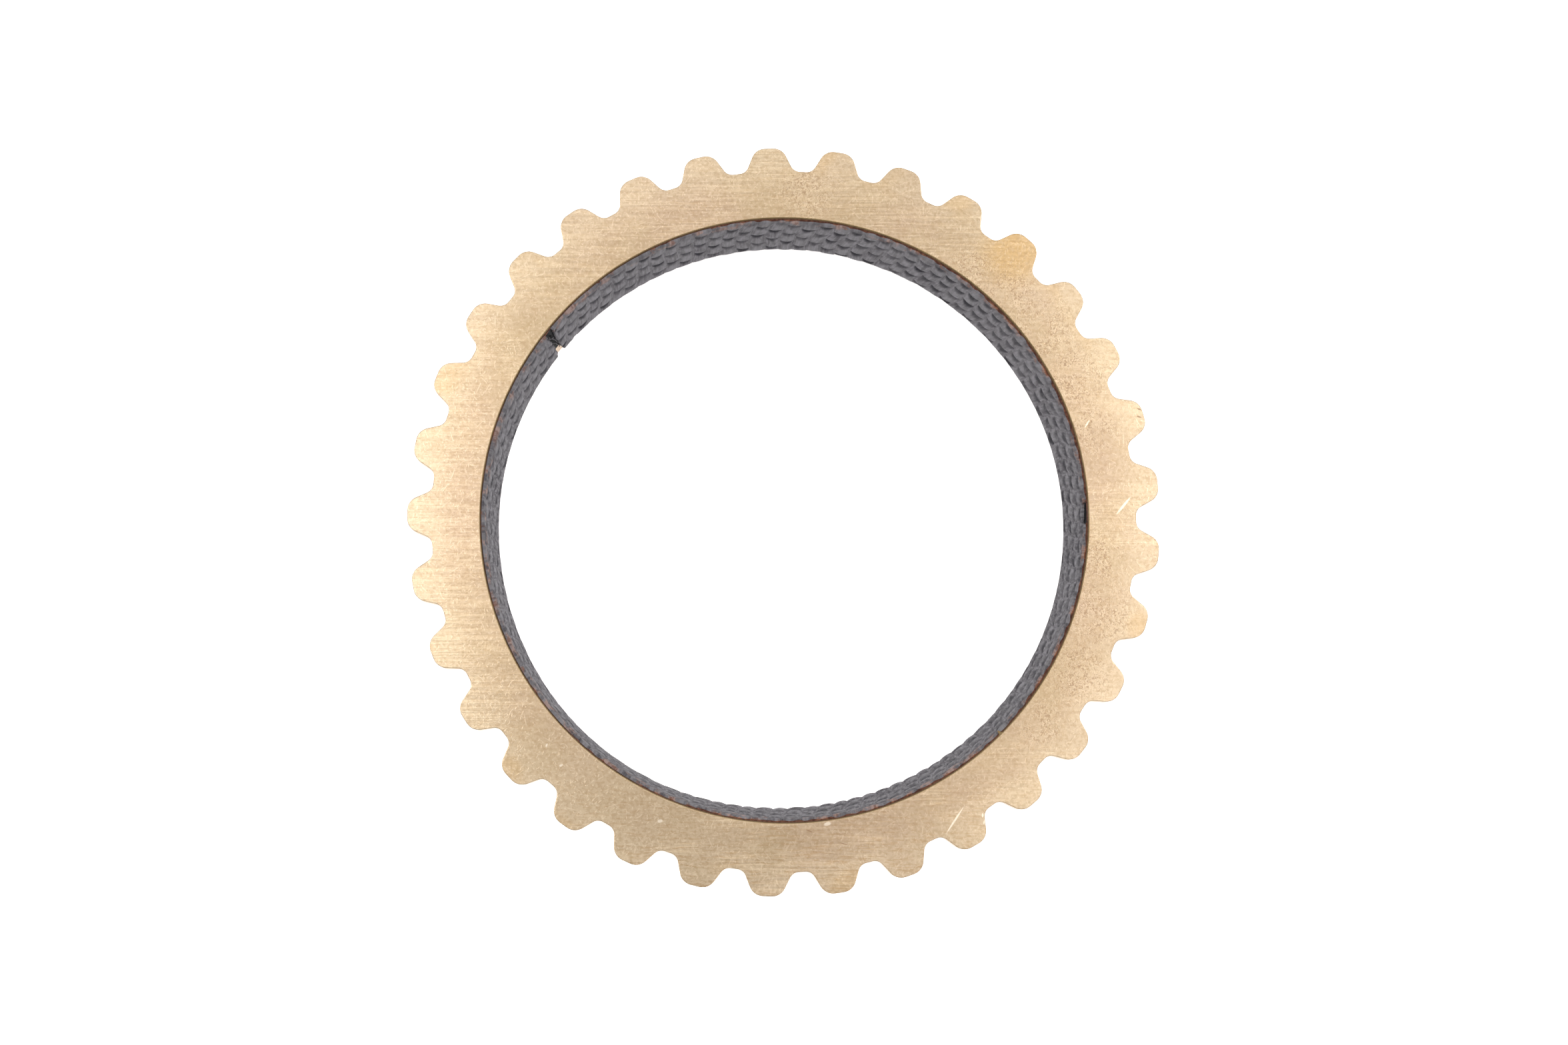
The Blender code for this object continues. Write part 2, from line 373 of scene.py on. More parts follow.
def bore_rings(azimuth):
    """Rings up the bore from the hub side to the gear-side face, with the burr in its edge."""
    rings = [polar(cone(HEIGHT) + BORE_CHAMFER, azimuth, 0.0)]
    rings.append(polar(cone(HEIGHT - BORE_CHAMFER), azimuth, BORE_CHAMFER))
    rings += [polar(cone(HEIGHT - z), azimuth, z) for z in (0.4, 2.5, 5.0, 7.2, 7.9)]
    burr = np.exp(-(wrapped(azimuth - BURR) * BORE_RADIUS / BURR_WIDTH) ** 2)
    for k in range(EDGE_STEPS, -1, -1):
        turn = pi / 2 * k / EDGE_STEPS
        radius = cone(EDGE_BREAK) + EDGE_BREAK * (1 - sin(turn))
        reach = BURR_REACH * (0.55 + 0.45 * sin(turn))
        dip = BURR_DIP * burr * (1 - sin(turn) * 0.2)
        rings.append(polar(radius - reach * burr, azimuth, HEIGHT - EDGE_BREAK * (1 - cos(turn)) - dip))
    rings.append(polar(cone(EDGE_BREAK) + EDGE_BREAK * 1.6, azimuth, HEIGHT))
    return rings


def build_brass_ring():
    """The toothed ring as one closed mesh."""
    azimuth = barrel_azimuths()
    flange = flange_rings()
    body = barrel_rings(azimuth) + bore_rings(azimuth)
    wide = len(flange[0])
    narrow = len(azimuth)
    points = np.vstack(flange + body)
    start = wide * len(flange)
    faces = grid_faces(len(flange), wide, True).tolist()
    faces += (grid_faces(len(body), narrow, True) + start).tolist()
    faces += zip_faces(flange[-1], start - wide, body[0], start)
    faces += zip_faces(body[-1], start + narrow * (len(body) - 1), flange[0], 0)
    ring = object_from("synchronizer_ring_body", points, faces)
    shape = bmesh.new()
    shape.from_mesh(ring.data)
    bmesh.ops.remove_doubles(shape, verts=shape.verts, dist=2e-6)
    bmesh.ops.recalc_face_normals(shape, faces=shape.faces)
    shape.to_mesh(ring.data)
    shape.free()
    smooth(ring, radians(35))
    flatten_level_faces(ring)
    return ring


# ---------------------------------------------------------------- woven lining

COLUMNS = 120
COLUMN_STEP = TAU / COLUMNS
COLUMN_WIDTH = 1.387
COLUMN_LEAN = 0.10
SCALE_LENGTH = 2.214
SMILE = 0.17        # how far a scale's end bends across its column, as a share of its length
PEAK = 0.70         # place of a scale's crown, as a share of its length
RELIEF = 0.22
STEPS_ROUND = 2160
STEPS_DEEP = 104
FRAY = 0.12
THINNEST = 0.035
YARN_STRIDE = 7.0

# Stretches of the lining's edge: the azimuth of each one's middle in degrees, and how narrow it is
LOW_SWELL = (273, 8)
TOP_SWELL = (72, 6)
THINNED = (223, 8)
CLOSE_FRONT = (170, 2)
DARK_FRONT = (215, 2)
TOP_SCALLOPS = (84, 5)
LOW_SCALLOPS = (284, 6)
REAR = (3.5, 7.5)   # depths over which the swelling and thinning come in


def weave_cell(azimuth, depth):
    """Column number, place across it, scale number and place along it, for each point."""
    lean = COLUMN_LEAN + 0.05 * np.sin(azimuth + 0.9) + 0.03 * np.sin(3 * azimuth)
    drift = 0.10 * np.sin(5 * azimuth + 0.8 * depth) + 0.05 * np.sin(17 * azimuth - 0.9 * depth)
    across = azimuth / COLUMN_STEP - lean * depth / COLUMN_WIDTH + drift
    column = np.floor(across)
    x = across - column - 0.5
    wander = 0.22 * np.sin(2 * azimuth + 1.0) + 0.12 * np.sin(7 * azimuth)
    jitter = 0.10 * (hashed(column % COLUMNS, 3) - 0.5)
    along = depth / SCALE_LENGTH + 0.5 * (column % 2) + wander + jitter + SMILE * (2 * x) ** 2
    scale = np.floor(along)
    return column % COLUMNS, x, scale, along - scale


def scale_height(column, x, scale, f):
    """Height of the overlapping scales, from 0 in a groove to 1 on a crown."""
    peak = PEAK + 0.08 * (hashed(column, scale, 1) - 0.5)
    rise = 1 - 0.66 * np.clip(1 - f / peak, 0, 1) ** 1.5
    fall = np.clip(1 - np.clip((f - peak) / (1 - peak), 0, 1) ** 3.2, 0, 1)
    step = np.maximum(fall, 0.12 + 0.42 * np.abs(2 * x) ** 2)
    crown = 1 - 0.16 * np.abs(2 * x) ** 5.0 - 0.12 * (2 * x) ** 2
    size = 0.88 + 0.12 * hashed(column, scale, 2)
    return np.where(f < peak, rise, step) * crown * size


def groove_shade(azimuth, x, f):
    """How deep a point lies in the painted shade of the dark crescent under a scale's rounded end, from
    0 to 1.
    """
    past = np.where(f > 0.6, f - 1, f) * SCALE_LENGTH
    side = np.clip(2.5 * np.sin(azimuth - radians(58)), -1, 1)
    middle = np.clip(1 - (2 * (x - 0.05 * side) / 0.9) ** 2, 0, 1)
    middle = middle * np.clip(1 + 0.8 * side * x, 0, 1.3)
    low = 0.5 - 0.5 * np.sin(azimuth)
    thick = 1.15 - 0.25 * side + 0.6 * low ** 2
    fade = 1 - ease(past, (0.02 + 0.20 * middle) * thick, (0.30 + 0.62 * middle) * thick)
    return ease(past, -0.16, -0.03) * fade * ease(middle, 0, 0.30) * (1 - 0.30 * low)


def stretch(azimuth, middle, narrowness):
    """A smooth share from 0 to 1 that peaks at one azimuth; middle is in degrees."""
    return (0.5 + 0.5 * np.cos(azimuth - radians(middle))) ** narrowness


def close_fronted(azimuth):
    """Share by which the cloth's front edge lies closer to the brass edge, along one side."""
    return stretch(azimuth, *CLOSE_FRONT)


def scalloped(azimuth):
    """Share of the back edge's scallops, which show only along two stretches."""
    return stretch(azimuth, *TOP_SCALLOPS) + stretch(azimuth, *LOW_SCALLOPS)


def edge_lines(azimuth):
    """Depths of the lining's frayed front edge and scalloped back edge."""
    column = azimuth / COLUMN_STEP
    x = column - np.floor(column) - 0.5
    each = hashed(np.floor(column), 11) - 0.5
    front = LINING_FRONT - 0.12 - 0.11 * close_fronted(azimuth)
    front = front + 0.05 * np.abs(2 * x) ** 2 + 0.07 * each
    from_chip = wrapped(azimuth - CHIP) * BORE_RADIUS
    torn = 0.9 - 0.28 * np.clip(from_chip, -1, 1) + 0.12 * hashed(np.floor(azimuth * 900), 5)
    front = front + CHIP_DEPTH * torn * (1 - ease(np.abs(from_chip), 0.85, 1.10))
    for nick in NICKS:
        from_nick = np.abs(wrapped(azimuth - nick)) * BORE_RADIUS
        front = front + NICK_DEPTH * (1 - ease(from_nick, 0.30, 0.50))
    low = azimuth / COLUMN_STEP - COLUMN_LEAN * LINING_BACK / COLUMN_WIDTH
    y = low - np.floor(low) - 0.5
    scallop = 0.03 + 0.07 * scalloped(azimuth)
    back = LINING_BACK - scallop * (np.abs(2 * y) ** 2.2 + 0.3 * hashed(np.floor(low), 12))
    from_notch = np.abs(wrapped(azimuth - NOTCH)) * BORE_RADIUS
    back = back - NOTCH_DEPTH * (1 - ease(from_notch, 0.15, 0.40))
    return front, back


def seam_edges(depth):
    """Azimuths of the two cut ends of the strip, which lean and are closest half way down."""
    middle = SEAM + (0.31 - 0.20 * depth / LINING_BACK) / BORE_RADIUS
    half = SEAM_HALF_GAP - 0.14 * ease(depth, 0.6, 4.0) + 0.16 * ease(depth, 6.2, 8.0)
    half = half / BORE_RADIUS
    ragged = 0.05 * np.sin(depth * 5.1) + 0.03 * np.sin(depth * 11.3)
    return middle + half + ragged / BORE_RADIUS, middle - half + 0.6 * ragged / BORE_RADIUS


def lining_surface():
    """Azimuth, depth, inward height and place in the weave, on a grid over the rubbing face."""
    near_cuts = [np.linspace(0.0001, 0.0012, 6), np.linspace(0.9988, 0.9999, 6)]
    across = np.sort(np.concatenate([np.linspace(0, 1, STEPS_ROUND), *near_cuts]))
    near_edges = [0.002, 0.005, 0.995, 0.998]
    down = np.sort(np.concatenate([np.linspace(0, 1, STEPS_DEEP), near_edges]))
    t, s = np.meshgrid(down, across, indexing="ij")
    start, end = seam_edges(LINING_FRONT + t * (LINING_BACK - LINING_FRONT))
    azimuth = start + s * (end + TAU - start)
    front, back = edge_lines(azimuth)
    depth = front + t * (back - front)
    column, x, scale, f = weave_cell(azimuth, depth)
    relief = RELIEF * (0.87 + 0.13 * np.sin(azimuth))
    height = LINING_THICKNESS - relief * (1 - scale_height(column, x, scale, f))
    rear = ease(depth, *REAR)
    low = stretch(azimuth, *LOW_SWELL)
    swell = 0.45 * stretch(azimuth, *TOP_SWELL) + 1.05 * low - 0.34 * low * (2 * x) ** 2
    swell = 1 + swell * rear
    thinned = stretch(azimuth, *THINNED)
    height = height * (1 - 0.65 * thinned * rear)
    pressed = (1 - thinned) * (1 - ease(back - depth, 0.1, 1.0)) * (1 - 0.35 * scalloped(azimuth))
    height = (height + (0.95 * LINING_THICKNESS - height) * pressed) * swell
    from_end = np.minimum(depth - front, back - depth)
    from_cut = np.minimum(azimuth - start, end + TAU - azimuth) * BORE_RADIUS
    for reach in (from_end, from_cut):
        height = height * np.sqrt(np.clip(1 - (1 - np.clip(reach / FRAY, 0, 1)) ** 2, 0, 1))
    return azimuth, depth, np.maximum(height, THINNEST), (column, x, scale, f)


def build_lining():
    """The strip of cloth as one closed mesh, with its weave stored for the material."""
    azimuth, depth, height, (column, x, scale, f) = lining_surface()
    base = FILM + 2 * SKIN_GAP
    rows, columns = azimuth.shape
    inner = polar(cone(depth, base + height), azimuth, HEIGHT - depth).reshape(-1, 3)
    ends = [polar(cone(depth[k], base), azimuth[k], HEIGHT - depth[k]) for k in (-1, 0)]
    faces = grid_faces(rows, columns, False).tolist()
    wrap = np.arange(columns)
    last = (rows - 1) * columns + wrap
    back, front = rows * columns + wrap, (rows + 1) * columns + wrap
    for first, second in ((last, back), (back, front), (front, wrap)):
        quads = np.stack([first[:-1], first[1:], second[1:], second[:-1]], axis=-1)
        faces += quads.tolist()
    for k, flip in ((0, 1), (columns - 1, -1)):
        side = [row * columns + k for row in range(rows)] + [int(back[k]), int(front[k])]
        faces.append(side[::flip])
    lining = object_from("woven_lining", np.vstack([inner, *ends]), faces)
    # Painted shade in the crescent under each scale's end, where the next scale lies in its shadow
    groove = groove_shade(azimuth, x, f) * (0.55 + 0.45 * hashed(column, scale, 6))
    groove = groove * ease(depth, LINING_FRONT + 0.1, LINING_FRONT + 0.9)
    tone = hashed(column, scale, 4)
    # Painted highlight on each scale's crown
    crown = ease(f, 0.15, 0.45) * (1 - ease(f, 0.62, 0.80)) * (1 - ease(np.abs(x), 0.12, 0.42))
    crown = crown * hashed(column, scale, 8)
    dark_end = LINING_FRONT + 0.75 + 1.2 * stretch(azimuth, *DARK_FRONT)
    near_front = 1 - ease(depth, LINING_FRONT + 0.15, dark_end)
    values = {"groove": groove, "tone": tone, "crown": crown, "near_front": near_front}
    for name, value in values.items():
        store_point_values(lining, name, np.append(value.ravel(), np.zeros(2 * columns)))
    yarn = np.stack([(x + YARN_STRIDE * hashed(column, 21)) * COLUMN_WIDTH, depth], axis=-1)
    store_yarn_uv(lining, np.vstack([yarn.reshape(-1, 2), np.zeros((2 * columns, 2))]))
    turn_outward(lining)
    smooth(lining, radians(80))
    return lining


def store_point_values(thing, name, values):
    """Stores one number per vertex under a name that the material reads."""
    attribute = thing.data.attributes.new(name, "FLOAT", "POINT")
    attribute.data.foreach_set("value", np.asarray(values, dtype=np.float32))


def store_yarn_uv(thing, places):
    """A UV map in millimetres, across and along the yarns."""
    layer = thing.data.uv_layers.new(name="yarn")
    corners = np.empty(len(thing.data.loops), dtype=np.int32)
    thing.data.loops.foreach_get("vertex_index", corners)
    layer.data.foreach_set("uv", places[corners].astype(np.float32).ravel())


# Each loose filament: its radius, then azimuth offset from the seam, depth and height over the
# cone at each bend, all in millimetres
STRANDS = (
    (0.055, ((0.52, 0.9, 0.30), (0.62, 1.3, 0.34), (0.48, 1.8, 0.36), (0.24, 2.1, 0.30),
             (0.10, 2.7, 0.20))),
    (0.055, ((0.36, 2.0, 0.32), (0.18, 2.9, 0.30), (0.02, 3.9, 0.24), (-0.02, 4.9, 0.18))),
    (0.04, ((0.60, 3.2, 0.30), (0.30, 3.9, 0.33), (0.12, 4.8, 0.30), (0.06, 5.8, 0.22))),
    (0.04, ((-0.52, 1.2, 0.28), (-0.30, 1.7, 0.28), (-0.18, 2.3, 0.20))),
    (0.04, ((-0.40, 5.2, 0.28), (-0.16, 5.7, 0.30), (0.0, 6.5, 0.20))))


def build_frayed_yarns():
    """Loose filaments at the butt gap: one curled loop and a few short straight ends."""
    tubes = []
    for number, (thickness, strand) in enumerate(STRANDS):
        curve = bpy.data.curves.new(f"strand_{number}", "CURVE")
        curve.dimensions = "3D"
        curve.bevel_depth = thickness * MM
        curve.bevel_resolution = 3
        curve.use_fill_caps = True
        spline = curve.splines.new("NURBS")
        spline.points.add(len(strand) - 1)
        spline.use_endpoint_u = True
        spline.order_u = 3
        spline.resolution_u = 8
        for point, (offset, depth, over) in zip(spline.points, strand):
            azimuth = SEAM + offset / BORE_RADIUS
            place = polar(cone(depth, over), azimuth, HEIGHT - depth) * MM
            point.co = (*place.tolist(), 1.0)
        made = bpy.data.objects.new(f"strand_{number}", curve)
        bpy.context.collection.objects.link(made)
        tubes.append(made)
    return join_as_mesh("frayed_yarns", tubes)


def join_as_mesh(name, things):
    """One mesh object from several objects' evaluated shapes, which are removed."""
    graph = bpy.context.evaluated_depsgraph_get()
    shape = bmesh.new()
    for thing in things:
        made = bpy.data.meshes.new_from_object(thing.evaluated_get(graph))
        shape.from_mesh(made)
        bpy.data.meshes.remove(made)
    for thing in things:
        bpy.data.objects.remove(thing, do_unlink=True)
    bmesh.ops.remove_doubles(shape, verts=shape.verts, dist=1e-7)
    bmesh.ops.recalc_face_normals(shape, faces=shape.faces)
    mesh = bpy.data.meshes.new(name)
    shape.to_mesh(mesh)
    shape.free()
    mesh.shade_smooth()
    joined = bpy.data.objects.new(name, mesh)
    bpy.context.collection.objects.link(joined)
    return joined


# ---------------------------------------------------------------- adhesive

BEAD_STEPS = 1800
BEAD_CREST = 0.17
FILM_START = 0.60
FILM_END = LINING_BACK - 0.35


def build_adhesive():
    """Film on the cone whose front edge is a lumpy bead that wells up at the yarn ends."""
    azimuth = np.linspace(0, TAU, BEAD_STEPS, endpoint=False)
    full = 0.80 + 0.22 * ring_noise(azimuth, 26, 3) + 0.10 * ring_noise(azimuth, 190, 4)
    start = 0.12 + 0.04 * ring_noise(azimuth, 40, 5) + 0.02 * ring_noise(azimuth, 210, 6)
    well = 0.5 + 0.5 * np.cos(azimuth / COLUMN_STEP * TAU)
    from_chip = np.abs(wrapped(azimuth - CHIP)) * BORE_RADIUS
    chip = 1 - ease(from_chip, 0.80, 1.05)
    full = full * (1 - 0.75 * chip) * (1 - 0.5 * close_fronted(azimuth))
    crest = BEAD_CREST + 0.06 * well
    profile = [
        # depth past the bead's start, inward height, share of pale resin, share of olive resin
        # Where neither pale nor olive resin shows, the bead keeps the darker brown, partly painted
        # shade in its recess by the brass wall
        (0.00, 0.004, 0.0, 1.0), (0.05, 0.020, 0.0, 0.6), (0.10, 0.040, 0.0, 0.2),
        (0.14, 0.080, 0.0, 0.0), (0.17, 0.130, 0.2, 0.0), (0.20, crest, 0.8, 0.0),
        (0.24, crest + 0.02, 1.0, 0.0), (0.28, crest, 1.0, 0.0), (0.34, 0.080, 0.6, 0.0)]
    rings = []
    pale = []
    olive = []
    under_cloth = []
    for forward, inward, pale_share, olive_share in profile:
        thickness = SKIN_GAP / 3 + (inward * full if forward else inward)
        depth = start + forward + 0.10 * chip * (forward > 0.12)
        rings.append(polar(cone(depth, thickness), azimuth, HEIGHT - depth))
        pale.append(pale_share * (1 - chip))
        olive.append(np.full(BEAD_STEPS, olive_share))
        under_cloth.append(np.zeros(BEAD_STEPS))
    under = SKIN_GAP + FILM
    bare = ease(np.abs(wrapped(azimuth - SEAM)) * BORE_RADIUS, 0.9, 1.5)
    back = FILM_END - 1.1 * (1 - bare)
    for depth, thickness in ((FILM_START, under), (back, under), (back, SKIN_GAP / 3)):
        rings.append(polar(cone(depth, thickness), azimuth, HEIGHT - depth))
        pale.append(np.zeros(BEAD_STEPS))
        olive.append(np.zeros(BEAD_STEPS))
        under_cloth.append(np.ones(BEAD_STEPS))
    faces = grid_faces(len(rings), BEAD_STEPS, True)
    closing = np.arange(BEAD_STEPS)
    after = np.roll(closing, -1)
    last = (len(rings) - 1) * BEAD_STEPS
    lid = np.stack([closing + last, after + last, after, closing], axis=-1)
    adhesive = object_from("adhesive_bead", np.vstack(rings), np.vstack([faces, lid]).tolist())
    store_point_values(adhesive, "pale_resin", np.concatenate(pale))
    store_point_values(adhesive, "olive_resin", np.concatenate(olive))
    store_point_values(adhesive, "under_cloth", np.concatenate(under_cloth))
    turn_outward(adhesive)
    smooth(adhesive, radians(70))
    return adhesive


# ---------------------------------------------------------------- node helpers

class Nodes:
    """Short names for building one material's node tree."""

    def __init__(self, name):
        self.material = bpy.data.materials.new(name)
        self.material.use_nodes = True
        self.tree = self.material.node_tree
        self.shader = self.tree.nodes["Principled BSDF"]

    def put(self, socket, value):
        """Links a socket's output, or sets a plain value."""
        if isinstance(value, bpy.types.NodeSocket):
            self.tree.links.new(value, socket)
        else:
            socket.default_value = value

    def add(self, kind, inputs, output=0, **settings):
        """One of the outputs of a new node."""
        node = self.tree.nodes.new(kind)
        for key, value in settings.items():
            setattr(node, key, value)
        for key, value in inputs.items():
            self.put(node.inputs[key], value)
        return node.outputs[output]

    def math(self, operation, a, b=0.0):
        return self.add("ShaderNodeMath", {0: a, 1: b}, operation=operation)

    def times(self, a, b):
        return self.math("MULTIPLY", a, b)

    def plus(self, a, b):
        return self.math("ADD", a, b)

    def minus(self, a, b):
        return self.math("SUBTRACT", a, b)

    def largest(self, masks):
        result = masks[0]
        for mask in masks[1:]:
            result = self.math("MAXIMUM", result, mask)
        return result

    def vector(self, operation, a, b=(0, 0, 0), output=0):
        return self.add("ShaderNodeVectorMath", {0: a, 1: b}, output, operation=operation)

    def length(self, vector):
        return self.vector("LENGTH", vector, output=1)

    def part(self, vector, axis):
        """X, Y or Z of a vector, for axis 0, 1 or 2."""
        return self.add("ShaderNodeSeparateXYZ", {0: vector}, axis)

    def stored(self, name):
        """A number stored on the mesh's vertices."""
        return self.add("ShaderNodeAttribute", {}, 2, attribute_name=name)

    def object_place(self):
        return self.add("ShaderNodeTexCoord", {}, 3)

    def span(self, value, low, high, to_low=0.0, to_high=1.0):
        """Value mapped from low..high to to_low..to_high, smoothly and clamped."""
        inputs = {0: value, 1: low, 2: high, 3: to_low, 4: to_high}
        return self.add("ShaderNodeMapRange", inputs, interpolation_type="SMOOTHSTEP")

    def mix(self, share, a, b):
        return self.add("ShaderNodeMix", {0: share, 6: a, 7: b}, 2, data_type="RGBA")

    def noise(self, vector, scale, detail=2.0, roughness=0.5, distortion=0.0):
        inputs = {"Vector": vector, "Scale": scale, "Detail": detail}
        inputs.update({"Roughness": roughness, "Distortion": distortion})
        return self.add("ShaderNodeTexNoise", inputs)

    def moved(self, vector, turn=0.0, scale=(1, 1, 1), shift=(0, 0, 0)):
        """Vector turned about Z first, then scaled and shifted."""
        turned = self.add("ShaderNodeMapping", {0: vector, 2: (0, 0, turn)})
        return self.add("ShaderNodeMapping", {0: turned, 1: shift, 3: scale})

    def shifted(self, vector, *shift):
        """Vector moved elsewhere, so that two noises of one kind don't match."""
        return self.moved(vector, shift=shift)

    def bump(self, height, distance, strength):
        """Normal of fine relief, whose distance is in metres."""
        inputs = {"Height": height, "Distance": distance, "Strength": strength}
        return self.add("ShaderNodeBump", inputs)


def colour(red, green, blue):
    """Linear colour with alpha from 0-255 display values."""
    def linear(value):
        v = value / 255
        return v / 12.92 if v <= 0.04045 else ((v + 0.055) / 1.055) ** 2.4

    return (linear(red), linear(green), linear(blue), 1.0)


# ---------------------------------------------------------------- materials

def place_in_mm(n):
    """Object coordinates in millimetres, turned so X runs to the camera's right."""
    inputs = {0: n.object_place(), "Scale": 1 / MM}
    scaled = n.add("ShaderNodeVectorMath", inputs, operation="SCALE")
    return n.add("ShaderNodeMapping", {0: scaled, 2: (0, 0, VIEW_TURN)})


def radius_in_mm(n):
    """Distance from the ring's axis, in millimetres."""
    return n.length(n.vector("MULTIPLY", n.object_place(), (1 / MM, 1 / MM, 0)))


def streaks(n, place, turn, length, width, cut, shift):
    """Mask of fine straight scratches that all run at one angle."""
    vector = n.moved(place, turn, (1 / length, 1 / width, 1 / length), shift)
    return n.span(n.noise(vector, 1.0, 1.0, 0.4), cut, cut + 0.09)


def curls(n, place, cell, length, width, share, bend, shift):
    """Mask of short bent hairlines in random directions, at most one in each random cell.

    Sizes are in millimetres, length and width being half sizes; bend is the tightest radius."""
    spread = n.moved(place, 0.0, (1 / cell, 1 / cell, 1.0), shift)
    cells = n.tree.nodes.new("ShaderNodeTexVoronoi")
    cells.voronoi_dimensions = "2D"
    cells.inputs["Scale"].default_value = 1.0
    n.put(cells.inputs["Vector"], spread)
    chance = n.tree.nodes.new("ShaderNodeSeparateColor")
    n.put(chance.inputs[0], cells.outputs["Color"])
    local = n.vector("SUBTRACT", spread, cells.outputs["Position"])
    flat = n.vector("MULTIPLY", local, (cell, cell, 0))
    angle = n.times(chance.outputs[0], TAU)
    turned = n.add("ShaderNodeVectorRotate", {"Vector": flat, "Angle": angle}, rotation_type="Z_AXIS")
    radius = n.plus(bend, n.times(n.math("POWER", chance.outputs[1], 2.0), 8 * bend))
    about = n.vector("ADD", turned, n.add("ShaderNodeCombineXYZ", {0: radius}))
    off = n.math("ABSOLUTE", n.minus(n.length(about), radius))
    swing = n.math("ABSOLUTE", n.math("ARCTAN2", n.part(about, 1), n.part(about, 0)))
    along = n.times(swing, radius)
    narrow = n.span(off, 0.4 * width, width, 1.0, 0.0)
    short = n.span(along, 0.5 * length, length, 1.0, 0.0)
    return n.times(n.times(narrow, short), n.span(chance.outputs[2], 1 - share, 1 - 0.6 * share))


def scratch(n, place, x, y, turn, length, width):
    """One spindle-shaped scratch on the face: its middle, direction, half length and half width."""
    from_middle = n.vector("SUBTRACT", place, (x, y, HEIGHT))
    shrunk = n.moved(from_middle, -turn, (1 / length, 1 / width, 1.0))
    return n.span(n.length(shrunk), 0.55, 1.0, 1.0, 0.0)


def patch(n, place, x, y, reach):
    """Soft round mask about a place on the face, in millimetres."""
    away = n.vector("DISTANCE", place, (x, y, HEIGHT), output=1)
    return n.span(away, reach * 0.25, reach, 1.0, 0.0)


# Marks on the toothed face, in millimetres along the camera's right and up.
# Soft pitted patches: middle and reach
PITTED = (
    (17.2, 22.6, 3.8), (20.6, 20.2, 4.4), (23.4, 17.0, 5.0), (26.0, 12.8, 5.0), (28.0, 8.0, 3.6),
    (2.0, 29.8, 4.2), (28.3, -3.8, 3.8), (28.2, -9.0, 5.2), (26.2, -14.2, 4.8), (22.8, -18.6, 3.4))
# Single scratches, the last two being painted glints on a tooth's bevel edge: middle, direction in
# radians, half length and half width
SCRATCHES_AND_GLINTS = (
    (30.7, 1.0, 0.88, 1.25, 0.14), (15.0, -27.3, 0.98, 1.68, 0.10), (3.6, -27.58, 0.25, 0.40, 0.20),
    (-11.3, -27.25, 0.20, 0.30, 0.18), (-20.1, -22.3, 0.5, 0.22, 0.12),
    (-21.4, -20.5, 1.2, 0.20, 0.11), (27.5, 8.5, 1.0, 0.50, 0.10),
    # The two marks below are painted glints where a tooth's bevel edge catches light
    (17.49, -26.87, 1.5, 0.24, 0.11), (17.61, -27.5, 1.4, 0.22, 0.09))
DARK_SCRATCHES = (
    (1.97, -28.19, -0.38, 0.36, 0.07), (5.1, -29.37, -0.30, 0.45, 0.06),
    (32.27, 9.85, -0.4, 0.25, 0.09), (32.27, 9.14, -0.3, 0.28, 0.09))
WARM_PATCH = (21.0, 24.4, 4.2)
PALE_PATCH = (-12.5, -26.5, 17.0)
# Families of light straight scratches: direction and random shift
LIGHT_STREAKS = ((0.35, 1.7), (1.15, 2.9), (1.75, 4.3), (2.35, 5.1), (2.85, 6.7), (-0.25, 7.9))
# Families of hairlines: cell, half length, half width, share of cells, bend and random shift
HAIRLINES = (
    (0.62, 0.24, 0.055, 0.60, 0.28, 3.0), (0.46, 0.16, 0.060, 0.50, 0.18, 11.0),
    (1.50, 0.60, 0.055, 0.50, 0.80, 19.0), (0.40, 0.07, 0.085, 0.40, 0.20, 27.0))
BRASS_GREY = colour(194, 170, 137)
BRASS_PINK = colour(194, 168, 141)
BRASS_CLOUD = colour(206, 183, 152)
# Painted highlight: lighter brass towards the outer rim
BRASS_RIM_HIGHLIGHT = colour(217, 197, 167)
BRASS_PALE = colour(217, 194, 162)
BRASS_WARM = colour(203, 165, 108)
BRASS_GRAIN = colour(170, 139, 102)
BRASS_MOTTLE = colour(226, 203, 172)
BRASS_BRUSHED = colour(240, 220, 186)
BRASS_DASHES = colour(178, 140, 96)
BRASS_SCUFFED = colour(246, 226, 198)
# Bare brass in single scratches, also used for two painted glints
BRASS_BARE_AND_GLINT = colour(252, 236, 214)
BRASS_DARK = colour(128, 100, 76)
# Olive of resin on the bore's edge, partly painted shade
BRASS_STAIN_AND_SHADE = colour(126, 106, 70)


